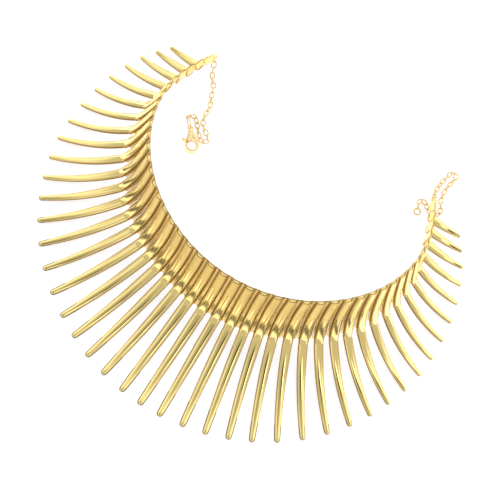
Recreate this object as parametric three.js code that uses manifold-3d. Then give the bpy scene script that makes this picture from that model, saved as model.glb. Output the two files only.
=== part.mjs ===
// Collar necklace of graduated spikes, lying open on a flat surface.
// Millimetres, +Z up, the front centre towards -Y, the wearer's left towards -X.
import * as THREE from 'three';
import Module from 'manifold-3d';
import { mergeVertices } from 'three/addons/utils/BufferGeometryUtils.js';

const wasm = await Module();
wasm.setup();

// ---------------------------------------------------------------- driving dimensions
const LINKS_PER_SIDE = 21;        // spike links on each side of the front centre link
const PITCH = 6.1;                // spacing of the links along the neck edge
const LINK_GAP = 0.3;             // clearance between neighbouring links
const FRONT_NECK_Y = -62;         // where the neck edge of the front centre link stands
const FRONT_CURVATURE = 0.0154;   // 1/mm, plan curvature of the neck edge at the front
const CURVATURE_EASE = 0.21;      // share of that curvature lost at the last link

// One row for each quarter of the way from the front centre link (row 0) to the last link (row 4).
// neckHeight is the neck edge above the surface; slopes are in degrees below level. lean turns a head's
// lower end towards the collar's end, and fan turns a spike away from the front centre.
const STATIONS = [
  { neckHeight: 40.2, headLength: 35.0, headSlope: 74.5, lean: 0, spikeLength: 48.0, spikeSlope: 8, fan: -2 },
  { neckHeight: 39.5, headLength: 32.0, headSlope: 72.0, lean: 0, spikeLength: 44.5, spikeSlope: 12, fan: -4 },
  { neckHeight: 35.5, headLength: 25.5, headSlope: 67.5, lean: 0, spikeLength: 36.0, spikeSlope: 17, fan: 3 },
  { neckHeight: 26.7, headLength: 13.8, headSlope: 70.0, lean: 3.5, spikeLength: 29.8, spikeSlope: 25.5, fan: 11.5 },
  { neckHeight: 14.7, headLength: 5.8, headSlope: 105, lean: 36, spikeLength: 18.3, spikeSlope: 7, fan: -13 },
];

const HEAD_FLARE = 42;            // degrees that the longest head turns outwards from top to crease
const SPIKE_BOW = 32;             // degrees that a spike curves upwards from root to tip
const FLANGE_THICKNESS = 0.7;     // thin side wings of a head
const RIB_HALF_WIDTH = { top: 2.3, crease: 2.2 };
const RIB_RISE = { top: 1.35, crease: 1.5 };
const SLENDER = { front: 1, end: 0.9 };      // the last links' ribs and spikes are narrower
const SLOT_ABOVE_CREASE = 2.5;    // the wings stop this far above the crease
const CREASE_STEP = 0.35;         // the spike starts this far below the rib's surface
const SPIKE_TIP = { front: 2.9, end: 1.7 };   // spike width just behind its rounded tip
const SPIKE_DEPTH_RATIO = 0.62;   // thickness of a spike over its width

const END_PIECE = { length: 9.4, thickness: 1.2, rise: 1.2, eyeDrop: 1.9, tabRadius: 1.7, holeRadius: 0.95 };
const RING = { radius: 1.5, wire: 0.35 };          // jump ring at each end piece
const CLASP_RING = { length: 5.4, width: 2.4, wire: 0.25, lean: 25, swing: 8 };  // lean and swing in degrees
const END_RING = { radius: 1.5, wire: 0.38 };
const CHAIN_DIAMETER = 2.4;       // outer width of the small-link chains
const CHAIN_GAP = 0.3;            // clearance between a chain and what it joins
const CLASP = {
  length: 11.7, thickness: 3.0, eyeRadius: 1.4, eyeHole: 0.9, eyeThickness: 0.8,
  neckRadius: 1.2, loopRadius: 3.1, wall: 1.0, slot: 1.8, pinRadius: 0.35,
};
const LEVER = { thickness: 1.2, hubRadius: 1.05, armWidth: 0.9, clearance: 0.3 };

const GOLD = { color: 0xe0b860, metalness: 1.0, roughness: 0.22 };
const UP = new THREE.Vector3(0, 0, 1);
const rad = THREE.MathUtils.degToRad;

// ---------------------------------------------------------------- small helpers
function station(column, side) {
  // smooth value of a column at side = 0 (front centre) to 1 (last link), level at the front
  const rows = STATIONS.map((row) => row[column]);
  const last = rows.length - 1;
  const values = [rows[1], ...rows, 2 * rows[last] - rows[last - 1]];
  const place = side * last;
  const i = Math.min(Math.floor(place), last - 1);
  const t = place - i;
  const [a, b, c, d] = values.slice(i, i + 4);
  return b + 0.5 * t * (c - a + t * (2 * a - 5 * b + 4 * c - d + t * (3 * b - a - 3 * c + d)));
}

function mix(range, t) {
  const [from, to] = Object.values(range);
  return from + (to - from) * t;
}

function meshOf(name, geometry) {
  const mesh = new THREE.Mesh(geometry, new THREE.MeshStandardMaterial(GOLD));
  mesh.name = name;
  return mesh;
}

function closedGeometry(positions, indices) {
  const geometry = new THREE.BufferGeometry();
  geometry.setAttribute('position', new THREE.Float32BufferAttribute(positions, 3));
  geometry.setIndex(indices);
  return geometry;
}

function loft(rings, isLoop = false) {
  // a solid through rings of equally many points, with flat ends or, as a loop, joined end to end
  const count = rings[0].length;
  const positions = rings.flat().flatMap((p) => p.toArray());
  const indices = [];
  for (let r = 0; r + (isLoop ? 0 : 1) < rings.length; r += 1) {
    const next = ((r + 1) % rings.length) * count;
    for (let k = 0; k < count; k += 1) {
      const other = (k + 1) % count;
      const [a, b] = [r * count + k, r * count + other];
      indices.push(a, b, next + other, a, next + other, next + k);
    }
  }
  if (isLoop) return closedGeometry(positions, indices);
  const end = (rings.length - 1) * count;
  for (let k = 1; k + 1 < count; k += 1) {
    indices.push(0, k + 1, k);
    indices.push(end, end + k, end + k + 1);
  }
  return closedGeometry(positions, indices);
}

function solid(geometry) {
  const bare = geometry.clone();
  bare.deleteAttribute('normal');
  bare.deleteAttribute('uv');
  const merged = mergeVertices(bare, 1e-4);
  return new wasm.Manifold(new wasm.Mesh({
    numProp: 3,
    vertProperties: new Float32Array(merged.attributes.position.array),
    triVerts: new Uint32Array(merged.index.array),
  }));
}

function fromSolid(body) {
  const { vertProperties, triVerts } = body.getMesh();
  return closedGeometry(Array.from(vertProperties), Array.from(triVerts));
}

function slab(shape, thickness) {
  const settings = { depth: thickness, bevelEnabled: false, curveSegments: 8 };
  const geometry = new THREE.ExtrudeGeometry(shape, settings);
  geometry.translate(0, 0, -thickness / 2);
  return geometry;
}

function rod(radius, length, u, v) {
  const geometry = new THREE.CylinderGeometry(radius, radius, length, 12);
  geometry.rotateX(Math.PI / 2);
  geometry.translate(u, v, 0);
  return geometry;
}

// ---------------------------------------------------------------- the neck edge
function neckEdge() {
  // points along one half of the neck edge, with the pitch measured along the edge itself
  const half = LINKS_PER_SIDE * PITCH;
  const step = PITCH / 20;
  const points = [];
  let [x, y, turn] = [0, FRONT_NECK_Y, 0];
  for (let s = 0; s < half * 1.12; s += step) {
    const side = s / half;
    const height = station('neckHeight', side);
    const rise = (station('neckHeight', side + 0.002) - station('neckHeight', Math.max(side - 0.002, 0)))
      / (half * (side < 0.002 ? side + 0.002 : 0.004));
    points.push({ s, x, y, z: height, turn, pitchAngle: Math.asin(rise) });
    const level = Math.sqrt(1 - rise * rise);
    const bend = FRONT_CURVATURE * (1 - CURVATURE_EASE * side ** 3) * step;
    x += Math.cos(turn + bend / 2) * level * step;
    y += Math.sin(turn + bend / 2) * level * step;
    turn += bend;
  }
  return { points, step };
}

const EDGE = neckEdge();

function edgeFrame(s) {
  // right-handed frame on the neck edge: along (towards the right end), out (away from the neck), up
  const sign = Math.sign(s) || 1;
  const place = Math.abs(s) / EDGE.step;
  const i = Math.min(Math.floor(place), EDGE.points.length - 2);
  const [p, q] = [EDGE.points[i], EDGE.points[i + 1]];
  const value = (key) => p[key] + (q[key] - p[key]) * (place - i);
  const turn = sign * value('turn');
  const pitch = sign * value('pitchAngle');
  const along = new THREE.Vector3(
    Math.cos(turn) * Math.cos(pitch), Math.sin(turn) * Math.cos(pitch), Math.sin(pitch));
  const out = new THREE.Vector3(Math.sin(turn), -Math.cos(turn), 0);
  const up = out.clone().cross(along).normalize();
  return { origin: new THREE.Vector3(sign * value('x'), value('y'), value('z')), along, out, up };
}

function leaning(frame, lean) {
  // the same frame turned about its outward axis, which carries the lower end along the collar
  const along = frame.along.clone().multiplyScalar(Math.cos(lean)).addScaledVector(frame.up, Math.sin(lean));
  const up = frame.up.clone().multiplyScalar(Math.cos(lean)).addScaledVector(frame.along, -Math.sin(lean));
  return { ...frame, along, up };
}

// ---------------------------------------------------------------- one spike link
function direction(frame, slope) {
  return frame.out.clone().multiplyScalar(Math.cos(slope)).addScaledVector(frame.up, -Math.sin(slope));
}

function arcPath(frame, start, length, slopeAt, stops) {
  // positions and surface normals at the stops (0 to 1) of a curve whose slope is slopeAt(t)
  const steps = 60;
  const path = [];
  const point = start.clone();
  for (let i = 0; i <= steps; i += 1) {
    path.push(point.clone());
    point.addScaledVector(direction(frame, slopeAt((i + 0.5) / steps)), length / steps);
  }
  return stops.map((t) => {
    const place = t * steps;
    const i = Math.min(Math.floor(place), steps - 1);
    const slope = slopeAt(t);
    return {
      t,
      point: path[i].clone().lerp(path[i + 1], place - i),
      normal: direction(frame, slope - Math.PI / 2),
    };
  });
}

function headCurve(index) {
  const side = Math.abs(index) / LINKS_PER_SIDE;
  const frame = leaning(edgeFrame(index * PITCH), Math.sign(index) * rad(station('lean', side)));
  const length = station('headLength', side);
  const slope = rad(station('headSlope', side));
  const flare = rad(HEAD_FLARE) * (length / STATIONS[0].headLength);
  const slopeAt = (t) => slope + flare * (1 / 3 - t * t);
  return { frame, length, slopeAt, pathAt: (stops) => arcPath(frame, frame.origin, length, slopeAt, stops) };
}

function spikeCurve(index, frame, start) {
  const side = Math.abs(index) / LINKS_PER_SIDE;
  const fan = rad(station('fan', side)) * Math.sign(index);
  const out = frame.out.clone().multiplyScalar(Math.cos(fan)).addScaledVector(frame.along, Math.sin(fan));
  const across = frame.along.clone().multiplyScalar(Math.cos(fan)).addScaledVector(frame.out, -Math.sin(fan));
  const length = station('spikeLength', side);
  const slope = rad(station('spikeSlope', side));
  const slopeAt = (t) => slope + rad(SPIKE_BOW) * (0.5 - t);
  const turned = { out, up: frame.up };
  return { across, length, slopeAt, pathAt: (stops) => arcPath(turned, start, length, slopeAt, stops) };
}

function ring(at, along, profile) {
  return profile.map(([across, out]) => at.point.clone()
    .addScaledVector(along, across).addScaledVector(at.normal, out));
}

function headProfile(left, right, rib, rise) {
  const base = FLANGE_THICKNESS;
  const shoulder = 0.62 * rib;
  return [[-left, 0], [right, 0], [right, base], [shoulder, base + 0.85 * rise], [0, base + rise],
    [-shoulder, base + 0.85 * rise], [-left, base]];
}

function spikeProfile(width, depth) {
  const half = width / 2;
  return [[-0.7 * half, 0], [0.7 * half, 0], [half, 0.4 * depth], [0.62 * half, 0.85 * depth], [0, depth],
    [-0.62 * half, 0.85 * depth], [-half, 0.4 * depth]];
}

function wingReach(index, neighbour, stops) {
  // half the sideways distance to the neighbouring link at each stop, less half the gap
  const here = headCurve(index);
  const there = headCurve(neighbour).pathAt(stops);
  return here.pathAt(stops).map((at, i) => {
    const apart = Math.abs(there[i].point.clone().sub(at.point).dot(here.frame.along));
    return Math.min(apart, PITCH * 1.25) / 2 - LINK_GAP / 2;
  });
}

function headRings(index, head, last) {
  // the winged part, the slot where the wings stop, and the bare rib down to the crease
  const slot = Math.min(1 - Math.min(SLOT_ABOVE_CREASE / head.length, 0.35), last - 0.2 * (1 - last) - 0.06);
  const wingEnd = slot + Math.min(1.2 / head.length, 0.5 * (last - slot));
  const stops = [0, 0.37 * slot, 0.71 * slot, slot, wingEnd, last];
  const left = wingReach(index, index - 1, stops);
  const right = wingReach(index, index + 1, stops);
  const slender = mix(SLENDER, Math.abs(index) / LINKS_PER_SIDE);
  return head.pathAt(stops).map((at, i) => {
    const rib = Math.min(mix(RIB_HALF_WIDTH, at.t) * slender, left[i], right[i]);
    const reach = (wing) => (at.t <= slot ? wing : rib + 0.05);
    return ring(at, head.frame.along, headProfile(reach(left[i]), reach(right[i]), rib, mix(RIB_RISE, at.t)));
  });
}

function spikeRings(index, spike, first) {
  const root = 2 * RIB_HALF_WIDTH.crease * mix(SLENDER, Math.abs(index) / LINKS_PER_SIDE);
  const tip = mix(SPIKE_TIP, Math.abs(index) / LINKS_PER_SIDE);
  const rootDepth = FLANGE_THICKNESS + RIB_RISE.crease - CREASE_STEP;
  return spike.pathAt([first, 0.3, 0.55, 0.8, 0.955, 1]).map((at) => {
    const blunt = at.t === 1 ? 0.5 : 1;   // the last ring is smaller, which rounds the tip
    const width = (root + (tip - root) * at.t ** 1.5) * blunt;
    const depth = (rootDepth + (tip * SPIKE_DEPTH_RATIO - rootDepth) * at.t ** 0.8) * blunt;
    at.point.addScaledVector(at.normal, (depth / blunt - depth) / 2);
    return ring(at, spike.across, spikeProfile(width, depth));
  });
}

function spikeLink(index) {
  const head = headCurve(index);
  const [crease] = head.pathAt([1]);
  const spike = spikeCurve(index, head.frame, crease.point);
  // the corner at the crease is mitred, and the next rings stand clear of it on both sides
  const turn = head.slopeAt(1) - spike.slopeAt(0);
  const clear = (FLANGE_THICKNESS + RIB_RISE.crease) * Math.tan(turn / 2) + 0.2;
  crease.normal = direction(head.frame, spike.slopeAt(0) + turn / 2 - Math.PI / 2);
  const rib = RIB_HALF_WIDTH.crease * mix(SLENDER, Math.abs(index) / LINKS_PER_SIDE);
  const corner = headProfile(rib, rib, rib, RIB_RISE.crease - CREASE_STEP / 2)
    .map(([across, out]) => [across, out / Math.cos(turn / 2)]);
  const number = String(index + LINKS_PER_SIDE + 1).padStart(2, '0');
  return meshOf(`spike_link_${number}`, loft([
    ...headRings(index, head, 1 - clear / head.length),
    ring(crease, head.frame.along.clone().add(spike.across).normalize(), corner),
    ...spikeRings(index, spike, clear / spike.length),
  ]));
}

// ---------------------------------------------------------------- end pieces and rings
function endFrame(sign) {
  // frame of an end piece: along points away from the collar, towards the chain
  const frame = edgeFrame(sign * ((LINKS_PER_SIDE + 0.5) * PITCH + LINK_GAP / 2));
  frame.along.multiplyScalar(sign);
  return frame;
}

function endHole(sign) {
  const frame = endFrame(sign);
  const { length, tabRadius, thickness, eyeDrop } = END_PIECE;
  return frame.origin.clone().addScaledVector(frame.along, length - tabRadius)
    .addScaledVector(frame.up, -eyeDrop)
    .addScaledVector(frame.out, thickness / 2);
}

function endPiece(sign) {
  const { length, thickness, rise, eyeDrop, tabRadius, holeRadius } = END_PIECE;
  const height = STATIONS[4].headLength;
  const lean = rad(STATIONS[4].lean);
  const foot = [height * Math.sin(lean), -height * Math.cos(lean)];   // it starts along the last head's side
  const centre = length - tabRadius;
  const round = Math.PI / 3;
  const outline = new THREE.Shape();
  outline.moveTo(0, 0);
  outline.quadraticCurveTo(centre / 2, rise,
    centre + tabRadius * Math.cos(round), tabRadius * Math.sin(round) - eyeDrop);
  outline.absarc(centre, -eyeDrop, tabRadius, round, -Math.PI / 2, true);
  outline.lineTo(...foot);
  outline.closePath();
  const plate = solid(slab(outline, thickness));
  const hole = solid(rod(holeRadius, 2 * thickness, centre, -eyeDrop));
  const mesh = meshOf(sign < 0 ? 'end_piece_left' : 'end_piece_right', fromSolid(plate.subtract(hole)));
  const { origin, along, out, up } = endFrame(sign);
  mesh.applyMatrix4(new THREE.Matrix4().makeBasis(along, up, along.clone().cross(up))
    .setPosition(origin.addScaledVector(out, thickness / 2)));
  return mesh;
}

function ringAt(name, size, centre, axis) {
  const torus = new THREE.TorusGeometry(size.radius, size.wire, 6, 14);
  const mesh = meshOf(name, torus);
  mesh.quaternion.setFromUnitVectors(UP, axis.clone().normalize());
  mesh.position.copy(centre);
  return mesh;
}

function jumpRingPlace(sign) {
  // the ring passes through the end piece's hole and hangs down and outwards
  const { along, up, out } = endFrame(sign);
  const reach = along.clone().multiplyScalar(0.8).addScaledVector(up, -0.6);
  const hole = endHole(sign);
  const centre = hole.clone().addScaledVector(reach, RING.radius);
  const far = hole.clone().addScaledVector(reach, 2 * RING.radius + RING.wire + CHAIN_GAP);
  return { centre, far, reach, axis: reach.clone().cross(out) };
}

// ---------------------------------------------------------------- chains
// Where each chain lies: points on its centre line, chosen along its drape from the collar's end.
const LYING = CHAIN_DIAMETER / 2;
const LEFT_LIE = [
  [-56.4, 31.4, 2.4], [-54.6, 28.4, LYING], [-52.3, 25.6, LYING], [-50.9, 22.4, LYING],
  [-49.6, 19.4, LYING], [-48.2, 16.2, LYING], [-47.9, 13.0, LYING], [-47.4, 9.7, LYING],
  [-46.0, 6.8, LYING], [-43.8, 4.7, LYING], [-41.4, 3.0, LYING], [-40.3, 1.2, LYING],
  [-41.4, -0.4, LYING], [-43.2, -0.2, LYING], [-44.9, 1.4, LYING], [-46.6, 3.2, LYING],
  [-48.3, 5.2, LYING], [-49.9, 6.8, LYING], [-51.2, 7.4, LYING], [-52.4, 7.1, LYING],
];
const RIGHT_LIE = [
  [58.6, 39.4, 2.4], [57.9, 42.3, LYING], [57.9, 45.4, LYING], [58.2, 48.6, LYING],
  [58.8, 51.8, LYING], [59.6, 54.5, LYING], [61.1, 55.6, LYING], [62.3, 54.2, LYING],
  [62.0, 51.0, LYING], [61.5, 47.4, LYING], [61.4, 44.0, LYING], [61.9, 40.8, LYING],
  [63.2, 38.0, LYING], [64.4, 35.2, LYING], [63.9, 32.6, LYING], [61.8, 31.4, LYING],
  [59.2, 32.6, LYING], [57.0, 34.4, LYING], [55.0, 34.7, LYING], [54.1, 33.2, LYING],
  [54.7, 31.4, LYING],
];
const END_RING_CENTRE = new THREE.Vector3(55.7, 29.4, END_RING.wire);

function chainRun(name, points, steps) {
  const path = new THREE.CatmullRomCurve3(points, false, 'centripetal');
  const section = new THREE.Shape();
  const sides = 8;
  for (let k = 0; k < sides; k += 1) {
    const angle = ((k + 0.5) * 2 * Math.PI) / sides;
    const radius = CHAIN_DIAMETER / 2 / Math.cos(Math.PI / sides);
    section[k ? 'lineTo' : 'moveTo'](radius * Math.cos(angle), radius * Math.sin(angle));
  }
  section.closePath();
  return meshOf(name, new THREE.ExtrudeGeometry(section, { extrudePath: path, steps, curveSegments: 1 }));
}

function chainPoints(sign, lie) {
  const { far, reach } = jumpRingPlace(sign);
  const lead = far.clone().addScaledVector(reach, 1.6);
  return [far, lead, ...lie.map((p) => new THREE.Vector3(...p))];
}

// ---------------------------------------------------------------- lobster clasp
// Local plane of the clasp: u runs from its eye to the round end, v towards the thumb nub.
const CLASP_EYE = new THREE.Vector3(-49.6, 1.5, CLASP.thickness / 2);
const CLASP_HEADING = new THREE.Vector3(7.4, -10, 0).normalize();
const PIVOT = { u: 5.9, v: 1.55 };

function claspMatrix() {
  const across = UP.clone().cross(CLASP_HEADING).negate();
  return new THREE.Matrix4().makeBasis(CLASP_HEADING, across, CLASP_HEADING.clone().cross(across))
    .setPosition(CLASP_EYE);
}

function taperedOutline(u1, v1, r1, u2, v2, r2) {
  // outline round two circles and their common tangents
  const distance = Math.hypot(u2 - u1, v2 - v1);
  const heading = Math.atan2(v2 - v1, u2 - u1);
  const spread = Math.acos((r1 - r2) / distance);
  const shape = new THREE.Shape();
  shape.absarc(u1, v1, r1, heading + spread, heading - spread + 2 * Math.PI, false);
  shape.absarc(u2, v2, r2, heading - spread, heading + spread, false);
  shape.closePath();
  return shape;
}

function polygon(points) {
  return new THREE.Shape(points.map(([u, v]) => new THREE.Vector2(u, v)));
}

function claspBody() {
  const { length, thickness, neckRadius, loopRadius, wall, eyeRadius, eyeHole, eyeThickness, slot } = CLASP;
  const loopU = length - loopRadius;
  const body = solid(slab(taperedOutline(2.3, 0, neckRadius, loopU, 0, loopRadius), thickness));
  const eye = solid(slab(taperedOutline(0, 0, eyeRadius, 1.8, 0, 0.8), eyeThickness));
  const hollow = taperedOutline(loopU - 1.4, -0.35, 1.55, loopU, 0, loopRadius - wall);
  const loop = solid(slab(hollow, thickness + 2));
  const mouth = solid(slab(polygon([[6.6, 0.4], [9.4, 0.4], [9.6, 4], [6.2, 4]]), thickness + 2));
  const hubRoom = solid(slab(taperedOutline(
    PIVOT.u, PIVOT.v, LEVER.hubRadius + LEVER.clearance, PIVOT.u - 0.6, PIVOT.v + 2, 1.5), slot));
  const pin = solid(rod(CLASP.pinRadius, slot + 0.4, PIVOT.u, PIVOT.v));
  const hole = solid(rod(eyeHole, thickness, 0, 0));
  const joined = body.add(eye).subtract(hole).subtract(loop).subtract(mouth).subtract(hubRoom).add(pin);
  const mesh = meshOf('clasp_body', fromSolid(joined));
  mesh.applyMatrix4(claspMatrix());
  return mesh;
}

function claspLever() {
  const { thickness, hubRadius, armWidth, clearance } = LEVER;
  const hub = solid(rod(hubRadius, thickness, PIVOT.u, PIVOT.v));
  const arm = solid(slab(taperedOutline(PIVOT.u, PIVOT.v + 0.3, 0.6, 8.55, 2.4, armWidth / 2), thickness));
  const thumb = taperedOutline(PIVOT.u, PIVOT.v + 0.5, 0.6, PIVOT.u - 0.7, PIVOT.v + 2.3, 0.5);
  const nub = solid(slab(thumb, thickness));
  const bore = solid(rod(CLASP.pinRadius + clearance, thickness + 1, PIVOT.u, PIVOT.v));
  const mesh = meshOf('clasp_lever', fromSolid(hub.add(arm).add(nub).subtract(bore)));
  mesh.applyMatrix4(claspMatrix());
  return mesh;
}

function claspRing() {
  // a stadium-shaped ring through the clasp's eye, nearly in line with it and leaning to one side
  const { length, width, wire, lean, swing } = CLASP_RING;
  const behind = CLASP_HEADING.clone().negate().applyAxisAngle(UP, rad(swing));
  const across = UP.clone().applyAxisAngle(behind, rad(lean));
  const [bend, run] = [(width - 2 * wire) / 2, (length - width) / 2];
  const centre = CLASP_EYE.clone().addScaledVector(behind, run + bend);
  const rings = [];
  for (let i = 0; i < 16; i += 1) {
    const angle = ((i + 0.5) * Math.PI) / 8;
    const outward = behind.clone().multiplyScalar(Math.cos(angle)).addScaledVector(across, Math.sin(angle));
    const at = centre.clone().addScaledVector(behind, Math.sign(Math.cos(angle)) * run)
      .addScaledVector(outward, bend);
    const side = behind.clone().cross(across);
    rings.push(Array.from({ length: 6 }, (_, k) => at.clone()
      .addScaledVector(outward, -wire * Math.cos((k * Math.PI) / 3))
      .addScaledVector(side, wire * Math.sin((k * Math.PI) / 3))));
  }
  return meshOf('clasp_ring', loft(rings, true));
}

// ---------------------------------------------------------------- assembly
const necklace = new THREE.Group();
for (let index = -LINKS_PER_SIDE; index <= LINKS_PER_SIDE; index += 1) {
  necklace.add(spikeLink(index));
}
for (const sign of [-1, 1]) {
  const { centre, axis } = jumpRingPlace(sign);
  necklace.add(endPiece(sign));
  necklace.add(ringAt(sign < 0 ? 'jump_ring_left' : 'jump_ring_right', RING, centre, axis));
}
necklace.add(chainRun('clasp_chain', chainPoints(-1, LEFT_LIE), 44));
necklace.add(chainRun('extension_chain', chainPoints(1, RIGHT_LIE), 44));
necklace.add(claspRing(), claspBody(), claspLever());
necklace.add(ringAt('end_ring', END_RING, END_RING_CENTRE, UP));

// the origin is the bottom centre of the whole piece
necklace.updateMatrixWorld(true);
const box = new THREE.Box3().setFromObject(necklace, true);
const middle = box.getCenter(new THREE.Vector3());
necklace.position.set(-middle.x, -middle.y, -box.min.z);

export default necklace;
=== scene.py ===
import math

import bmesh
import bpy
from mathutils import Matrix, Vector


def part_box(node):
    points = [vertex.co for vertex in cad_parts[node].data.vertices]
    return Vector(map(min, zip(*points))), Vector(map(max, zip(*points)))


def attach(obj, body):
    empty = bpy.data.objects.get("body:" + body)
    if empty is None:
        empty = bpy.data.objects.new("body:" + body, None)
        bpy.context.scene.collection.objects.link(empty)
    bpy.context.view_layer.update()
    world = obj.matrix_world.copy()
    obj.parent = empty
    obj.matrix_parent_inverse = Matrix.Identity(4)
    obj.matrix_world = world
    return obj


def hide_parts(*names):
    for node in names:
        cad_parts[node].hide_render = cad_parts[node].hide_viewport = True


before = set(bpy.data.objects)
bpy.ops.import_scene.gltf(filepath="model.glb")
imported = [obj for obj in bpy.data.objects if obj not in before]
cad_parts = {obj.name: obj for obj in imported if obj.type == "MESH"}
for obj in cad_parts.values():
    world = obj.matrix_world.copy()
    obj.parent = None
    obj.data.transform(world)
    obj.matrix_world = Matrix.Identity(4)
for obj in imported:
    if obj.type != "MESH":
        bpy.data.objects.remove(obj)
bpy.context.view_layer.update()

# Camera: a long lens high above the necklace, looking down on it from the front and rolled by about a third
# of a right angle, so that the collar lies diagonally. The focal length is in sensor widths. The aim is
# behind the front of the neck edge and above the table, and stands a little off the middle of the frame.
ELEVATION, AZIMUTH, ROLL = math.radians(67.45), math.radians(-3.14), math.radians(30.39)
DISTANCE, FOCAL = 0.735, 3.4326
AIM_BEHIND, AIM_ABOVE, AIM_LEFT, AIM_DOWN = 0.032, 0.02, 0.00223, 0.00886
NEAREST, FARTHEST = 0.01, 20
neck_front, table_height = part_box("spike_link_22")[1].y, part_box("clasp_body")[0].z
aim = Vector((0, neck_front + AIM_BEHIND, table_height + AIM_ABOVE))
toward = Vector((-math.sin(AZIMUTH) * math.cos(ELEVATION), -math.cos(AZIMUTH) * math.cos(ELEVATION),
                 math.sin(ELEVATION)))
level = Vector((0, 0, 1)).cross(toward).normalized()
over = toward.cross(level)
right = level * math.cos(ROLL) + over * math.sin(ROLL)
up = over * math.cos(ROLL) - level * math.sin(ROLL)
aim -= right * AIM_LEFT + up * AIM_DOWN
camera = bpy.data.objects.new("camera", bpy.data.cameras.new("camera"))
camera.data.lens = FOCAL * camera.data.sensor_width
camera.data.clip_start, camera.data.clip_end = NEAREST, FARTHEST
turned = Matrix((right, up, toward)).transposed().to_4x4()
camera.matrix_world = Matrix.Translation(aim + toward * DISTANCE) @ turned
bpy.context.collection.objects.link(camera)
bpy.context.scene.camera = camera
bpy.context.scene.view_settings.view_transform = "Standard"


# Surface: a plain white table, three metres square and matt. It is drawn nearly white to the camera and a
# little darker to the metal that stands on it.
class Value:
    """A shader value; the operators add Math nodes."""

    def __init__(self, sheet, socket):
        self.sheet, self.socket = sheet, socket

    def _maths(self, operation, *inputs):
        return self.sheet.node("ShaderNodeMath", {"operation": operation}, dict(enumerate(inputs)))

    def __add__(self, other):
        return self._maths("ADD", self, other)

    def __sub__(self, other):
        return self._maths("SUBTRACT", self, other)

    def __rsub__(self, other):
        return self._maths("SUBTRACT", other, self)

    def __mul__(self, other):
        return self._maths("MULTIPLY", self, other)

    __radd__, __rmul__ = __add__, __mul__


class Sheet:
    """The node sheet of one material or of the world. A node's inputs are values or links."""

    def __init__(self, owner):
        owner.use_nodes = True
        self.tree = owner.node_tree
        self.tree.nodes.clear()

    def node(self, kind, settings=None, inputs=None, output=0):
        made = self.tree.nodes.new(kind)
        for name, setting in (settings or {}).items():
            setattr(made, name, setting)
        for name, given in (inputs or {}).items():
            if isinstance(given, Value):
                self.tree.links.new(given.socket, made.inputs[name])
            else:
                made.inputs[name].default_value = given
        return Value(self, made.outputs[output]) if made.outputs else None


TABLE_HALF, TABLE_WHITE, GLARE = 1.5, 0.9, 0.7
floor_mesh = bmesh.new()
bmesh.ops.create_grid(floor_mesh, x_segments=1, y_segments=1, size=TABLE_HALF)
floor = bpy.data.objects.new("table", bpy.data.meshes.new("table"))
floor_mesh.to_mesh(floor.data)
floor_mesh.free()
bpy.context.collection.objects.link(floor)
white = bpy.data.materials.new("white_table")
sheet = Sheet(white)
paint = sheet.node("ShaderNodeBsdfDiffuse", inputs={"Color": (TABLE_WHITE, TABLE_WHITE, TABLE_WHITE, 1)})
bright = sheet.node("ShaderNodeEmission", inputs={"Color": (1, 1, 1, 1), "Strength": 1.0})
seen = sheet.node("ShaderNodeLightPath", output=0)
table_top = sheet.node("ShaderNodeMixShader", inputs={0: seen * GLARE, 1: paint, 2: bright})
sheet.node("ShaderNodeOutputMaterial", inputs={"Surface": table_top})
floor.data.materials.append(white)

# Studio: an evenly grey room with round soft-edged panels, dimmer straight above. Three pairs of small
# spots, a dark one beside a bright one, are high on the right and draw fine lines on the spikes.
ROOM_LOW, ROOM_HIGH, HORIZON, SKY_STRENGTH = 0.55, 0.6, (-0.1, 0.3), 1.1

# The panels in front, behind on the left and on the right, higher behind, and high on the left: where each
# one is, the half angles of its core and its edge in degrees, and how bright it is.
PANELS = [
    ((0.05, -0.83, 0.56), 8, 18, 0.5),
    ((-0.64, 0.58, 0.5), 16, 34, 0.55),
    ((0.55, 0.65, 0.52), 16, 34, 0.65),
    ((0, 0.7, 0.71), 18, 30, 0.3),
    ((-0.6, -0.12, 0.79), 10, 26, 0.32),
]
OVERHEAD, OVERHEAD_SPREAD, OVERHEAD_DIMMING = (0, -0.12, 1), (14, 27), 0.28
SPOT_ROWS, SPOT_SPREAD, SPOT_DARKNESS, SPOT_BRIGHTNESS = (-0.33, -0.2, -0.07), (4, 9), 0.9, 0.85
world = bpy.data.worlds.new("studio")
bpy.context.scene.world = world
sheet = Sheet(world)
direction = sheet.node("ShaderNodeTexCoord", output=0)


def panel(place, core, edge):
    """How much of a soft-edged round panel is seen in a direction; core and edge are half angles."""
    facing = sheet.node("ShaderNodeVectorMath", {"operation": "DOT_PRODUCT"},
                        {0: direction, 1: Vector(place).normalized()}, output="Value")
    return sheet.node("ShaderNodeMapRange", {"interpolation_type": "SMOOTHSTEP"}, {
        "Value": facing, "From Min": math.cos(math.radians(edge)), "From Max": math.cos(math.radians(core))})


height = sheet.node("ShaderNodeSeparateXYZ", inputs={0: direction}, output=2)
room = sheet.node("ShaderNodeMapRange", {"interpolation_type": "SMOOTHSTEP"},
                  {"Value": height, "From Min": HORIZON[0], "From Max": HORIZON[1],
                   "To Min": ROOM_LOW, "To Max": ROOM_HIGH})
for place, core, edge, brightness in PANELS:
    room = room + panel(place, core, edge) * brightness
room = room * (1 - panel(OVERHEAD, *OVERHEAD_SPREAD) * OVERHEAD_DIMMING)
for row in SPOT_ROWS:
    dark_spot = panel((0.3, row, 0.94), *SPOT_SPREAD)
    bright_spot = panel((0.52, row + 0.15, 0.84), *SPOT_SPREAD)
    room = room * (1 - dark_spot * SPOT_DARKNESS) + bright_spot * SPOT_BRIGHTNESS
sky = sheet.node("ShaderNodeBackground", inputs={"Color": room, "Strength": SKY_STRENGTH})
sheet.node("ShaderNodeOutputWorld", inputs={"Surface": sky})

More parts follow.
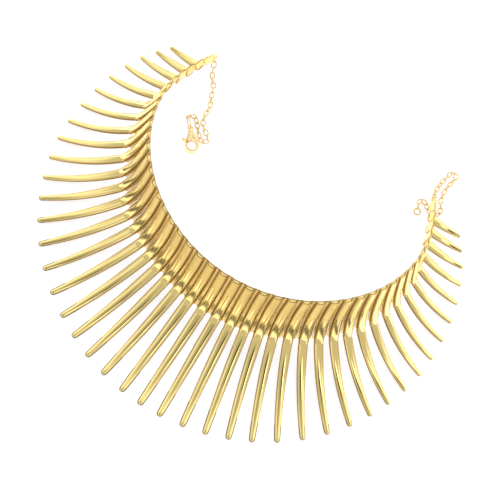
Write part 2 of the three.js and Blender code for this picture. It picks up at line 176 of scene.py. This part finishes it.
# Cards: three flat sheets of matt card just above the table, which only the polished metal sees: a wide
# pale one round the left and the front, a dark strip under the front spikes' tips and a slightly less pale
# one beyond it. Each is a sector of a ring round a centre on the middle line.
PALE, LESS_PALE, DARK = 0.72, 0.66, 0.08
LOWER, UPPER = 0.0006, 0.0009
CARD_STEPS = 24


def lay_card(name, centre, start, sweep, inner, outer, lift, tone):
    """Starts at an angle from +X, sweeps on anticlockwise and reaches from inner to outer."""
    mesh = bmesh.new()
    turn = Matrix.Rotation(math.radians(start), 3, "Z")
    ends = [mesh.verts.new(turn @ Vector((reach, 0, lift)) + Vector((0, centre, 0)))
            for reach in (inner, outer)]
    bmesh.ops.spin(mesh, geom=ends + [mesh.edges.new(ends)], cent=(0, centre, 0), axis=(0, 0, 1),
                   angle=math.radians(sweep), steps=CARD_STEPS)
    card = bpy.data.objects.new(name, bpy.data.meshes.new(name))
    mesh.to_mesh(card.data)
    mesh.free()
    bpy.context.collection.objects.link(card)
    card.visible_camera = card.visible_diffuse = card.visible_shadow = False
    paper = bpy.data.materials.new(name)
    sheet = Sheet(paper)
    matt = sheet.node("ShaderNodeBsdfDiffuse", inputs={"Color": (tone, tone, tone, 1)})
    sheet.node("ShaderNodeOutputMaterial", inputs={"Surface": matt})
    card.data.materials.append(paper)


lay_card("grey_card", 0, 180, 112, 0.098, 0.53, LOWER, PALE)
lay_card("dark_card", 0.033, 198, 134, 0.108, 0.14, UPPER, DARK)
lay_card("middle_card", 0.033, 198, 134, 0.14, 0.4, UPPER, LESS_PALE)

# Lamp: one broad disk high above the table, which lights it evenly and throws soft shadows. The metal
# doesn't mirror it.
LAMP_SIZE, LAMP_POWER, LAMP_HEIGHT = 1.6, 33, 1.4
lamp = bpy.data.lights.new("broad_lamp", "AREA")
lamp.shape, lamp.size, lamp.energy = "DISK", LAMP_SIZE, LAMP_POWER
holder = bpy.data.objects.new("broad_lamp", lamp)
holder.location = (0, 0, LAMP_HEIGHT)
holder.visible_glossy = False
bpy.context.collection.objects.link(holder)

# Gold-tone plating: one kind of finish for all the metal, warm yellow with a very fine uneven lustre. It is
# softer where a piece is satin instead of polished. Painted shade: on side walls and down in the hollows the
# colour is painted a dull brown, and the surface is made rougher there.
TONE_LOW, TONE_HIGH, PAINTED_SHADE_BROWN = 0.94, 1.04, (0.34, 0.16, 0.03, 1)
CLOUD_SCALE, GRAIN_SCALE, GRAIN_STRENGTH, GRAIN_DEPTH = 220.0, 2600.0, 0.04, 0.0001
SATIN_ROUGHNESS, PAINTED_SHADE_ROUGHNESS, CLOUD_ROUGHNESS, GRAIN_ROUGHNESS = 0.22, 0.25, 0.04, 0.02


def plating(name, colour, polish, metallic=1.0):
    """The finish in a colour; polish is its roughness where it is smoothest."""
    metal = bpy.data.materials.new(name)
    sheet = Sheet(metal)
    place = sheet.node("ShaderNodeTexCoord", output=3)
    cloud = sheet.node("ShaderNodeTexNoise", inputs={"Vector": place, "Scale": CLOUD_SCALE, "Detail": 3.0})
    grain = sheet.node("ShaderNodeTexNoise", inputs={"Vector": place, "Scale": GRAIN_SCALE, "Detail": 2.0})
    satin = sheet.node("ShaderNodeAttribute", {"attribute_name": "satin"}, output=2)
    painted_shade = sheet.node("ShaderNodeAttribute", {"attribute_name": "painted_shade"}, output=2)
    tint = sheet.node("ShaderNodeMix", {"data_type": "RGBA"}, {
        "Factor": cloud, 6: (*[c * TONE_LOW for c in colour], 1),
        7: (*[min(1, c * TONE_HIGH) for c in colour], 1)}, output=2)
    # Painted shade: brown mixed into the colour where the second attribute marks side walls and hollows.
    tint = sheet.node("ShaderNodeMix", {"data_type": "RGBA"}, {
        "Factor": painted_shade, 6: tint, 7: PAINTED_SHADE_BROWN}, output=2)
    shape = sheet.node("ShaderNodeBump", inputs={
        "Strength": GRAIN_STRENGTH, "Distance": GRAIN_DEPTH, "Height": grain})
    gold = sheet.node("ShaderNodeBsdfPrincipled", inputs={
        "Base Color": tint, "Metallic": metallic, "Normal": shape,
        "Roughness": polish + satin * SATIN_ROUGHNESS + painted_shade * PAINTED_SHADE_ROUGHNESS
        + cloud * CLOUD_ROUGHNESS + grain * GRAIN_ROUGHNESS})
    sheet.node("ShaderNodeOutputMaterial", inputs={"Surface": gold})
    return metal


collar_gold = plating("collar_plating", (0.98, 0.77, 0.31), 0.05)
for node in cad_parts.values():
    node.data.materials.clear()
    node.data.materials.append(collar_gold)


# Spike links: forty-three castings of plated metal strung side by side along the neck edge. Each is a
# ribbed head with thin side wings that reach to the next link's, then a sharp bend at the crease and a long
# rounded spike that bows upwards to a blunt tip.
HALF, PITCH, OVERLAP = 21, 0.0061, 0.00022
CURVATURE, EASE = 15.4, 0.21
EDGE_STEP, EDGE_SPARE, NEARBY = PITCH / 20, 1.12, 0.002
FLARE, BOW = math.radians(42), math.radians(32)

# In metres and degrees, at the front link, at each quarter of the way on and at the last link: the neck
# edge's height, the length of the head, its slope below level and its lean, and the same for the spike,
# which fans out instead of leaning.
STATIONS = {
    "neck": (0.0402, 0.0395, 0.0355, 0.0267, 0.0147),
    "head": (0.035, 0.032, 0.0255, 0.0138, 0.0058),
    "slope": (74.5, 72, 67.5, 70, 105),
    "lean": (0, 0, 0, 3.5, 36),
    "spike": (0.048, 0.0445, 0.036, 0.0298, 0.0183),
    "spike_slope": (8, 12, 17, 25.5, 7),
    "fan": (-2, -4, 3, 11.5, -13),
}
BASE, RISE, HOLLOW = 0.0006, 0.0015, 0.0003
RIB, SLENDER, FLATTENED, SPIKE_LEVEL = 0.0023, 0.9, 0.7, 0.35
ROUND, CREASE_SQUARE, HEAD_SQUARE = 2.0, 2.5, 2.9
TIP_WIDTHS, TIP_DEPTH, TIP_START = (0.0029, 0.0017), 0.62, 0.965
SLOT, SLOT_SHARES, FILLET, CREASE_ROOM = 0.0025, (0.35, 0.06), 0.0009, 0.00012
WING_LEAST, WING_CLEAR, MID_WALL = 0.00006, 0.00008, 0.0004
ARCH, ARCH_REACH = 0.0006, 0.003
HEAD_WALL, SPIKE_WALL = 0.64, 0.8
RIB_STEPS, SPIKE_STEPS, BACK_STEPS = 16, 22, 9
# How far down a head the satin lasts and how fast it fades, how much is left below, and how much of the
# painted shade on the dished top edge fades away by the last link.
SATIN_UNTIL, SATIN_FADE, SATIN_LEFT, PAINTED_SHADE_FADE = 0.42, 0.18, 0.22, 0.95

# How far each point of a wing is from its edge to the rib, with its mark, then how small and how deep each
# ring of the dished top is, and where the rings stand below the top, in the fillet and at the tip.
WING = ((0, 0), (0.2, 0), (0.65, 0.5))
TOP_DISH = ((0.62, 0.0006), (0.74, 0.0005), (0.8, 0.00005))
TOP_STOPS, FILLET_STOPS = (0.0002, 0.0009), (0, 0.35, 0.65, 0.85, 0.96, 1)
TIP_STOPS = (0.98, 0.991, 0.997, 1.0)


def curve_through(a, b, c, d, t):
    """A point on the smooth curve from b to c that comes from a and goes on to d."""
    return b + 0.5 * t * (c - a + t * (2 * a - 5 * b + 4 * c - d + t * (3 * b - a - 3 * c + d)))


def station(column, side):
    """The smooth value of a column, from side = 0 at the front to 1 at the last link."""
    rows = STATIONS[column]
    rows = (rows[1], *rows, 2 * rows[-1] - rows[-2])
    i = min(int(side * 4), 3)
    return curve_through(*rows[i:i + 4], side * 4 - i)


def between(start, end, t):
    """The value at t on the straight way from start, where t is 0, to end, where it is 1."""
    return start + (end - start) * t


def neck_edge():
    """Points along one half of the neck edge and a little past it, evenly spaced along it: the place in
    plan, the height, and the edge's turn in plan and its climb."""
    half = HALF * PITCH
    points, x, y, turn = [], 0.0, 0.0, 0.0
    for i in range(int(half * EDGE_SPARE / EDGE_STEP)):
        side = i * EDGE_STEP / half
        low = max(side - NEARBY, 0)
        rise = (station("neck", side + NEARBY) - station("neck", low)) / (half * (side + NEARBY - low))
        points.append((x, y, station("neck", side), turn, math.asin(rise)))
        flat = math.sqrt(1 - rise * rise) * EDGE_STEP
        bend = CURVATURE * (1 - EASE * side ** 3) * EDGE_STEP
        x += math.cos(turn + bend / 2) * flat
        y += math.sin(turn + bend / 2) * flat
        turn += bend
    return points


EDGE = neck_edge()
FRONT = Vector((0, neck_front, table_height))


def edge_frame(s):
    """The place at a distance along the neck edge, with the ways along it, outwards and up from it."""
    sign = -1 if s < 0 else 1
    place = abs(s) / EDGE_STEP
    i = min(int(place), len(EDGE) - 2)
    x, y, z, turn, pitch = (p + (q - p) * (place - i) for p, q in zip(EDGE[i], EDGE[i + 1]))
    turn, pitch = turn * sign, pitch * sign
    along = Vector((math.cos(turn) * math.cos(pitch), math.sin(turn) * math.cos(pitch), math.sin(pitch)))
    out = Vector((math.sin(turn), -math.cos(turn), 0))
    return FRONT + Vector((x * sign, y, z)), along, out, out.cross(along).normalized()


def heading(out, upward, slope):
    """The way that goes outwards and down at a slope below level."""
    return out * math.cos(slope) - upward * math.sin(slope)


class Arc:
    """A curve in the plane of out and upward, whose slope below level is slope_at(t)."""

    STEPS = 60

    def __init__(self, start, out, upward, length, slope_at):
        self.out, self.upward, self.length, self.slope_at = out, upward, length, slope_at
        self.points = [start.copy()]
        for i in range(self.STEPS):
            ahead = heading(out, upward, slope_at((i + 0.5) / self.STEPS))
            self.points.append(self.points[-1] + ahead * length / self.STEPS)

    def at(self, t):
        i = min(max(int(t * self.STEPS), 0), self.STEPS - 1)
        return self.points[i].lerp(self.points[i + 1], t * self.STEPS - i)

    def ahead(self, t):
        return heading(self.out, self.upward, self.slope_at(t))

    def normal(self, t):
        return heading(self.out, self.upward, self.slope_at(t) - math.pi / 2)


def loft(bm, rings, satin_and_shade=None):
    """A solid through rings of equally many points, closed at both ends. A point comes with a mark, from 0
    on an open face to 1 on a side wall. A ring's satin and painted shade are its satin, the painted shade
    of the whole ring and the painted shade of its side walls, which the marks scale."""
    # The second layer is painted shade, which the plating paints as dull brown.
    layers = [bm.verts.layers.float.new(key) for key in ("satin", "painted_shade")] if satin_and_shade else []
    made = bmesh.ops.create_circle(bm, segments=len(rings[0]), radius=0.001, cap_ends=False)["verts"]
    first = edges = list({edge for vert in made for edge in vert.link_edges})
    for row, ring in enumerate(rings):
        if row:
            new = bmesh.ops.extrude_edge_only(bm, edges=edges)["geom"]
            fresh = {item for item in new if isinstance(item, bmesh.types.BMVert)}
            made = [next(e.other_vert(v) for e in v.link_edges if e.other_vert(v) in fresh) for v in made]
            edges = [item for item in new if isinstance(item, bmesh.types.BMEdge)
                     and item.verts[0] in fresh and item.verts[1] in fresh]
        for vert, (point, mark) in zip(made, ring):
            vert.co = point
            if layers:
                satin, painted_shade, side = satin_and_shade[row]
                vert[layers[0]] = satin
                vert[layers[1]] = max(painted_shade, side * mark)
    for rim in (first, edges):
        bmesh.ops.edgeloop_fill(bm, edges=rim)


def piece(name, bm, material, levels, node, body="necklace"):
    """Makes the mesh a smooth piece that rides on its body and replaces its node."""
    bmesh.ops.recalc_face_normals(bm, faces=bm.faces)
    for face in bm.faces:
        face.smooth = True
    made = bpy.data.objects.new(name, bpy.data.meshes.new(name))
    bm.to_mesh(made.data)
    bm.free()
    bpy.context.collection.objects.link(made)
    made.data.materials.append(material)
    if levels:
        smooth = made.modifiers.new("smooth", "SUBSURF")
        smooth.levels = smooth.render_levels = levels
    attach(made, body)
    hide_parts(node)
    return made


def bent(x, power):
    """A cosine or sine with its curve squared up by the power of a superellipse."""
    return math.copysign(abs(x) ** (2 / power), x)


def steep(angle, start):
    """How much of a side wall a place on a rounded front is: none on top, all at its foot."""
    return max(abs(math.cos(angle)) - start, 0) / (1 - start)


def head_section(left, right, rib, rise, squareness):
    """Points round a head, with their marks: the wing, the rib and the other wing in front, then the
    shallow hollow back."""
    left, right = max(left, rib + WING_LEAST), max(right, rib + WING_LEAST)
    front = [(-between(left, rib, u), BASE, mark) for u, mark in WING]
    for i in range(RIB_STEPS + 1):
        angle = math.pi * (1 - i / RIB_STEPS)
        front.append((rib * bent(math.cos(angle), squareness),
                      BASE + rise * bent(math.sin(angle), squareness),
                      steep(angle, HEAD_WALL)))
    front += [(between(right, rib, u), BASE, mark) for u, mark in reversed(WING)]
    hollow = [((right if k > 0 else left) * k, HOLLOW * (1 - k * k), 0.35) for k in (0.55, 0.2, -0.2, -0.55)]
    return [*front, (right, 0, 1), (right * 0.85, 0, 0.7), *hollow, (-left * 0.85, 0, 0.7), (-left, 0, 1)]


def spike_section(width, depth, squareness):
    """Points round a spike, in the same order and number as a head's, with their marks."""
    level = SPIKE_LEVEL * depth
    front = []
    for i in range(SPIKE_STEPS + 1):
        angle = math.pi * (1 - i / SPIKE_STEPS)
        front.append((width / 2 * bent(math.cos(angle), squareness),
                      level + (depth - level) * bent(math.sin(angle), squareness),
                      steep(angle, SPIKE_WALL)))
    back = []
    for i in range(1, BACK_STEPS):
        angle = math.pi * i / BACK_STEPS
        back.append((width / 2 * bent(math.cos(angle), 3), level * (1 - bent(math.sin(angle), 3)), 1))
    return front + back


def ring_at(point, across, normal, section, ahead, arch):
    """The section's points at a place; its sides run ahead of its middle by the arch."""
    half = max(x for x, y, mark in section)
    return [(point + across * x + normal * y + ahead * arch * (x / half) ** 2, mark)
            for x, y, mark in section]


def head_arc(index):
    """A head's curve from the neck edge down to the crease, and the way across it."""
    start, along, out, upward = edge_frame(index * PITCH)
    side = abs(index) / HALF
    lean = math.copysign(math.radians(station("lean", side)), index)
    along, upward = (along * math.cos(lean) + upward * math.sin(lean),
                     upward * math.cos(lean) - along * math.sin(lean))
    length, slope = station("head", side), math.radians(station("slope", side))
    flare = FLARE * length / STATIONS["head"][0]
    return Arc(start, out, upward, length, lambda t: slope + flare * (1 / 3 - t * t)), along


def reach_to(index, neighbour, t):
    """How far a head's wing reaches towards its neighbour's."""
    head, along = head_arc(index)
    other, _ = head_arc(neighbour)
    return min(abs((other.at(t) - head.at(t)).dot(along)), PITCH * 1.25) / 2 + OVERLAP / 2


def spike_link(index):
    """One link, lofted from its top edge through the crease to the spike's tip; 0 is the front centre."""
    side = abs(index) / HALF
    head, along = head_arc(index)
    fan = math.radians(station("fan", side)) * (0 if index == 0 else math.copysign(1, index))
    slope = math.radians(station("spike_slope", side))
    fanned = head.out * math.cos(fan) + along * math.sin(fan)
    across = along * math.cos(fan) - head.out * math.sin(fan)
    spike = Arc(head.at(1), fanned, head.upward, station("spike", side), lambda t: slope + BOW * (0.5 - t))
    turn = head.slope_at(1) - spike.slope_at(0)
    rib, depth = RIB * between(1, SLENDER, side), BASE + RISE
    clear = depth * math.tan(turn / 2) + CREASE_ROOM
    last = 1 - clear / head.length
    shoulder = 1 - min(SLOT / head.length, between(*SLOT_SHARES, side ** 3))
    slot = min(shoulder, last - 0.2 * (1 - last) - 0.02)
    fillet = FILLET / head.length
    # The second value is how much painted shade the dished top edge carries, less towards the last link.
    crown, painted_rim_shade = ARCH * (1 - side ** 3), 1 - PAINTED_SHADE_FADE * side ** 2
    crease_section = spike_section(2 * rib, depth, CREASE_SQUARE)

    def head_ring(t, shrink=1.0, sink=0.0):
        """The ring at t: wings and rib, drawn in above the crease to the spike's own section."""
        edge = [reach_to(index, index + sign, t) for sign in (-1, 1)]
        wide = min(rib, *[e - WING_CLEAR for e in edge])
        square = between(ROUND, HEAD_SQUARE, min(t / 0.35, 1))
        rise = RISE * (1 - FLATTENED * side ** 4 * max(1 - t / 0.5, 0))
        if t > slot - fillet:
            u = min((t - slot + fillet) / fillet, 1)
            edge = [between(e, wide, 1 - math.sqrt(max(1 - u * u, 0))) for e in edge]
        section = head_section(*edge, wide, rise, square)
        if t > slot:
            u = min((t - slot) / (last - slot), 1)
            section = [tuple(between(a, b, u) for a, b in zip(*pair))
                       for pair in zip(section, crease_section)]
        if shrink < 1:
            section = [(x * shrink, MID_WALL + (y - MID_WALL) * shrink, mark) for x, y, mark in section]
        arch = crown * max(1 - (1 - t) * head.length / ARCH_REACH, 0)
        point = head.at(t) + head.ahead(t) * sink
        return ring_at(point, along, head.normal(t), section, head.ahead(t), arch)

    # The top edge is dished: its rings step in and down to a smaller one inside the head. The dish carries
    # painted shade, and so do the head's side walls below it.
    rings = [head_ring(0, *dish) for dish in TOP_DISH] + [head_ring(0)]
    satin_and_shade = [(0.3, 0.1, 0), (0.3, 0.8 * painted_rim_shade, 0), (0.6, painted_rim_shade, painted_rim_shade), (1, 0.6 * painted_rim_shade, 0.6)]
    stops = sorted({*[stop / head.length for stop in TOP_STOPS],
                    *[slot * i / 8 for i in range(1, 8)],
                    *[slot - fillet * (1 - k) for k in FILLET_STOPS],
                    between(slot, last, 0.4), between(slot, last, 0.75), last})
    for t in stops:
        rings.append(head_ring(t))
        satin = between(1, SATIN_LEFT, min(max(t - SATIN_UNTIL, 0) / SATIN_FADE, 1))
        satin_and_shade.append((satin, 0, 0.9))

    # The crease is a mitre halfway between the head's slope and the spike's. Its side walls carry painted
    # shade.
    stretch = 1 / math.cos(turn / 2)
    middle = spike.slope_at(0) + turn / 2
    rings.append(ring_at(head.at(1), (along + across).normalized(),
                         heading(head.out, head.upward, middle - math.pi / 2),
                         [(x, y * stretch, mark) for x, y, mark in crease_section],
                         heading(head.out, head.upward, middle), crown))
    satin_and_shade.append((0.1, 0, 0.6))

    # The spike narrows all the way, and its last few rings close in on a blunt tip. Its sides and underside
    # carry painted shade.
    tip = between(*TIP_WIDTHS, side)
    first = clear / spike.length
    for t in (first, first * 1.4, *[between(first * 1.4, TIP_START, i / 10) for i in range(1, 11)],
              *TIP_STOPS):
        u = max((t - TIP_START) / (1 - TIP_START), 0)
        blunt = math.sqrt(max(1 - u * u * 0.97, 0.03))
        wide = between(2 * rib, tip, t ** 1.5) * blunt
        full = between(depth, tip * TIP_DEPTH, t ** 0.8)
        arch = crown * max(1 - t * spike.length / ARCH_REACH, 0)
        section = spike_section(wide, full * blunt, between(CREASE_SQUARE, ROUND, min(t / 0.3, 1)))
        point = spike.at(t) + spike.normal(t) * full * (1 - blunt) / 2
        rings.append(ring_at(point, across, spike.normal(t), section, spike.ahead(t), arch))
        satin_and_shade.append((0.0, 0, 1.0))
    bm = bmesh.new()
    loft(bm, rings, satin_and_shade)
    number = f"{index + HALF + 1:02d}"
    piece(f"link_{number}", bm, collar_gold, 1, f"spike_link_{number}")


for index in range(-HALF, HALF + 1):
    spike_link(index)


# End pieces: the collar's last castings, one at each end. Each is a small plate with two narrowing ribs like
# the links', set against the last link's slanted side, and an eye at its tip that takes the jump ring.
END_PLACE = (HALF + 0.5) * PITCH + 0.00015
END_LENGTH, END_RISE, END_TILT, END_SLICES = 0.0078, 0.0006, 0.0013, 24
END_PLATE, END_EDGE, END_BULGE = 0.0007, 0.0003, 0.0009
EYE_ALONG, EYE_DROP, EYE_OUT, EYE_RADIUS, EYE_HOLE = 0.0077, 0.0019, 0.0006, 0.0017, 0.00095
RIBS = ((0.27, 0.24), (0.73, 0.2))


def end_frame(sign):
    """The end piece's frame on the left (-1) or right (1), with its second way pointing to its tip."""
    origin, along, out, upward = edge_frame(sign * END_PLACE)
    return origin, along * sign, out, upward


def eye_at(sign):
    """The middle of the end piece's eye."""
    origin, along, out, upward = end_frame(sign)
    return origin + along * EYE_ALONG - upward * EYE_DROP + out * EYE_OUT


def hoop(bm, radius, wire, matrix, stretch=0.0, flat=1.0, steps=20, sides=8):
    """A closed ring of wire in the matrix's xy plane, drawn out along x by stretch."""
    upright = Matrix.Translation((0, radius, 0)) @ Matrix.Rotation(math.pi / 2, 4, "Y")
    made = bmesh.ops.create_circle(bm, segments=sides, radius=wire, cap_ends=False,
                                   matrix=upright @ Matrix.Diagonal((flat, 1, 1, 1)))["verts"]
    before = set(bm.verts) - set(made)
    edges = list({e for v in made for e in v.link_edges})
    bmesh.ops.spin(bm, geom=made + edges, cent=(0, 0, 0), axis=(0, 0, 1),
                   angle=2 * math.pi, steps=steps, use_merge=True)
    ring = [v for v in bm.verts if v not in before]
    for vert in ring:
        vert.co.x += math.copysign(stretch / 2, vert.co.x) if abs(vert.co.x) > 1e-6 else 0
    bmesh.ops.transform(bm, verts=ring, matrix=matrix)


def basis(x, y, origin):
    """The placing matrix of a shape whose own x and y take these ways."""
    return Matrix.Translation(origin) @ Matrix((x, y, x.cross(y))).transposed().to_4x4()


def end_piece(sign):
    """The plate, sliced from the last link's side to its tip, and the ring of metal round its eye."""
    origin, along, out, upward = end_frame(sign)
    lean, last_head = math.radians(STATIONS["lean"][-1]), STATIONS["head"][-1]
    foot = (last_head * math.sin(lean), -last_head * math.cos(lean))
    rings, satin_and_shade = [], []
    for k in range(END_SLICES + 1):
        s = k / END_SLICES
        top = (END_LENGTH * s, END_RISE * 4 * s * (1 - s) - EYE_DROP * 0.35 * s * s)
        low = (between(foot[0], EYE_ALONG - 0.0007, s), between(foot[1], -EYE_DROP - EYE_RADIUS, s))
        bulge = sum(max(1 - ((s - middle) / half) ** 2, 0) ** 0.5 for middle, half in RIBS)
        # Painted shade covers the end plate, darkest off its ribs, by the second value of each point.
        front, groove_shade = END_PLATE + END_BULGE * bulge, max(1 - bulge * 1.6, 0.4)
        thick = [(0.02, END_EDGE), (0.05, 0.8 * front), (0.15, front), (0.5, front), (0.85, front),
                 (0.95, 0.8 * front), (0.98, END_EDGE), (0.9, 0), (0.5, 0), (0.1, 0)]
        rings.append([(origin + along * between(top[0], low[0], u) + upward * between(top[1], low[1], u)
                       + out * (y - END_TILT * u), groove_shade) for u, y in thick])
        satin_and_shade.append((0.8, 0, 0.7))
    bm = bmesh.new()
    loft(bm, rings, satin_and_shade)
    hoop(bm, (EYE_RADIUS + EYE_HOLE) / 2, (EYE_RADIUS - EYE_HOLE) / 2, basis(along, upward, eye_at(sign)),
         flat=1.5, steps=28)
    side = "left" if sign < 0 else "right"
    piece(f"end_{side}", bm, collar_gold, 1, f"end_piece_{side}")


for sign in (-1, 1):
    end_piece(sign)


# Jump rings: one round ring of bent wire through the eye of each end piece, hanging down and outwards to
# the chain.
JUMP_RADIUS, JUMP_WIRE, HANG_OUT, HANG_DOWN = 0.0015, 0.00035, 0.8, 0.6
wire_gold = plating("ring_plating", (0.84, 0.6, 0.26), 0.09)


def hang(sign):
    """The way that a jump ring and the first chain link hang from the eye."""
    _, along, _, upward = end_frame(sign)
    return along * HANG_OUT - upward * HANG_DOWN


for sign in (-1, 1):
    bm = bmesh.new()
    reach, out = hang(sign), end_frame(sign)[2]
    across = out.cross(reach).cross(reach).normalized()
    hoop(bm, JUMP_RADIUS, JUMP_WIRE, basis(reach, across, eye_at(sign) + reach * JUMP_RADIUS), steps=28)
    side = "left" if sign < 0 else "right"
    piece(f"ring_{side}", bm, wire_gold, 1, f"jump_ring_{side}")


# Chains: small oval cable links, each of bent round wire, turned a quarter against the next. The left one
# hangs from its jump ring, runs inwards over the table and doubles back to the clasp. The right one goes
# back from the collar's end, returns beside itself and curls in to the end ring.
LINK_LENGTH, LINK_WIDTH, LINK_WIRE, LINK_PITCH = 0.0037, 0.0028, 0.00034, 0.0024
NECK_DEPTH, RESTING, FIRST_WAY, SHORT_WAY = 0.062, 1.4, 0.0012, 0.0009
ROLL_START, ROLL_PLAY, ROLL_CHANGE = 18, 14, 1.7

# The routes are in millimetres, from a point on the table inside the collar. A point without a height lies
# at RESTING.
LEFT_ROUTE = [
    (-56.4, 31.4, 2.4), (-54.6, 28.4), (-52.3, 25.6), (-50.9, 22.4), (-49.6, 19.4), (-48.2, 16.2),
    (-47.9, 13.0), (-47.4, 9.7), (-46.0, 6.8), (-43.8, 4.7), (-41.4, 3.0), (-40.3, 1.2), (-41.4, -0.4),
    (-43.2, -0.2), (-44.9, 1.4), (-46.6, 3.2), (-48.3, 5.2), (-49.9, 6.8), (-51.2, 7.4), (-52.6, 7.1),
    (-53.4, 5.9),
]
RIGHT_ROUTE = [
    (58.6, 39.4, 2.4), (57.9, 42.3), (57.9, 45.4), (58.2, 48.6), (58.8, 51.8), (59.6, 54.5), (61.1, 55.6),
    (62.3, 54.2), (62.0, 51.0), (61.5, 47.4), (61.4, 44.0), (61.9, 40.8), (63.2, 38.0), (64.4, 35.2),
    (63.9, 32.6), (61.8, 31.4), (59.2, 32.6), (57.0, 34.4), (55.0, 34.7), (54.1, 33.2), (54.7, 31.4),
]
TABLE = FRONT + Vector((0, NECK_DEPTH, 0))
chain_gold = plating("chain_plating", (0.86, 0.64, 0.29), 0.08)


def on_table(x, y, z=RESTING):
    """The place of a route's point."""
    return TABLE + Vector((x, y, z)) / 1000


def smooth_route(points):
    """Closely spaced points on a smooth curve through the given ones."""
    path = []
    ends = [points[0] * 2 - points[1], *points, points[-1] * 2 - points[-2]]
    for a, b, c, d in zip(ends, ends[1:], ends[2:], ends[3:]):
        path += [curve_through(a, b, c, d, k / 20) for k in range(20)]
    return [*path, points[-1]]


def chain(name, sign, route, node):
    """Links at even distances along a route, each rolled a quarter turn and a little more or less."""
    start = eye_at(sign) + hang(sign) * (2 * JUMP_RADIUS - JUMP_WIRE - 2 * LINK_WIRE + LINK_LENGTH / 2)
    path = smooth_route([start, start + hang(sign) * FIRST_WAY, *[on_table(*point) for point in route]])
    travelled = [0.0]
    for a, b in zip(path, path[1:]):
        travelled.append(travelled[-1] + (b - a).length)
    count = round(travelled[-1] / LINK_PITCH)

    def at(distance):
        """The place at a distance along the path."""
        distance = min(max(distance, 0), travelled[-1] * 0.99999)
        i = next(k for k, reached in enumerate(travelled) if reached > distance) - 1
        return path[i].lerp(path[i + 1], (distance - travelled[i]) / (travelled[i + 1] - travelled[i]))

    bm = bmesh.new()
    for k in range(count + 1):
        middle = travelled[-1] * k / count
        ahead = (at(middle + SHORT_WAY) - at(middle - SHORT_WAY)).normalized()
        flat = Vector((0, 0, 1)).cross(ahead).normalized()
        roll = math.radians(90 * (k % 2) + ROLL_PLAY * math.sin(ROLL_CHANGE * k) + ROLL_START)
        across = flat * math.cos(roll) + ahead.cross(flat) * math.sin(roll)
        hoop(bm, LINK_WIDTH / 2 - LINK_WIRE, LINK_WIRE, basis(ahead, across, at(middle)),
             stretch=LINK_LENGTH - LINK_WIDTH, steps=14, sides=6)
    piece(name, bm, chain_gold, 1, node)


chain("chain_clasp_side", -1, LEFT_ROUTE, "clasp_chain")
chain("chain_extension", 1, RIGHT_ROUTE, "extension_chain")


# Clasp ring: a long oval ring of bent wire between the last chain link and the clasp's eye. It leans to
# one side, off the clasp's own line.
CLASP_EYE, CLASP_WAY = on_table(-49.6, 1.5, 1.5), Vector((7.4, -10, 0)).normalized()
RING_LENGTH, RING_WIDTH, RING_WIRE, RING_LEAN, RING_SWING = 0.0054, 0.0024, 0.00025, 25, 8
bm = bmesh.new()
behind = Matrix.Rotation(math.radians(RING_SWING), 3, "Z") @ -CLASP_WAY
middle = CLASP_EYE + behind * (RING_LENGTH / 2 - RING_WIRE)
hoop(bm, RING_WIDTH / 2 - RING_WIRE, RING_WIRE,
     basis(behind, Matrix.Rotation(math.radians(RING_LEAN), 3, behind) @ Vector((0, 0, 1)), middle),
     stretch=RING_LENGTH - RING_WIDTH)
piece("ring_clasp", bm, wire_gold, 1, "clasp_ring")


# Clasp body: a lobster-claw casting, an eye and a thick hook round an oval opening. Every edge is rounded
# over by tumbling, and it carries the lever's pin.
HOOK_EASING, EASING_STEPS, SHARP = 0.00046, 3, math.radians(40)
TOUCHING, SAME_PLANE = 0.00001, math.radians(2)
clasp_gold = plating("clasp_plating", (0.98, 0.74, 0.38), 0.2, 0.92)


def rounded_casting(name, node, easing, body):
    """A merged copy of the node's solid, its sharp edges rounded over by the easing."""
    bm = bmesh.new()
    bm.from_mesh(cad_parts[node].data)
    bmesh.ops.remove_doubles(bm, verts=bm.verts, dist=TOUCHING)
    bmesh.ops.dissolve_limit(bm, angle_limit=SAME_PLANE, verts=bm.verts, edges=bm.edges)
    made = piece(name, bm, clasp_gold, 0, node, body=body)
    ease = made.modifiers.new("ease", "BEVEL")
    ease.width, ease.segments, ease.angle_limit = easing, EASING_STEPS, SHARP
    ease.limit_method, ease.harden_normals = "ANGLE", True


rounded_casting("clasp_hook", "clasp_body", HOOK_EASING, "necklace")


# Clasp lever: the spring-loaded tongue with its thumb nub, a flat casting with rounded edges that turns on
# the pin in the clasp body and closes the hook.
TONGUE_EASING = 0.00022
rounded_casting("clasp_tongue", "clasp_lever", TONGUE_EASING, "clasp_lever")


# End ring: a plain round ring of bent wire that ends the extension chain and gives the clasp a wide
# target. It lies flat on the table.
END_RADIUS, END_WIRE = 0.0015, 0.00038
bm = bmesh.new()
hoop(bm, END_RADIUS, END_WIRE, Matrix.Translation(on_table(55.7, 29.4, END_WIRE * 1000)), steps=28)
piece("ring_end", bm, wire_gold, 1, "end_ring")
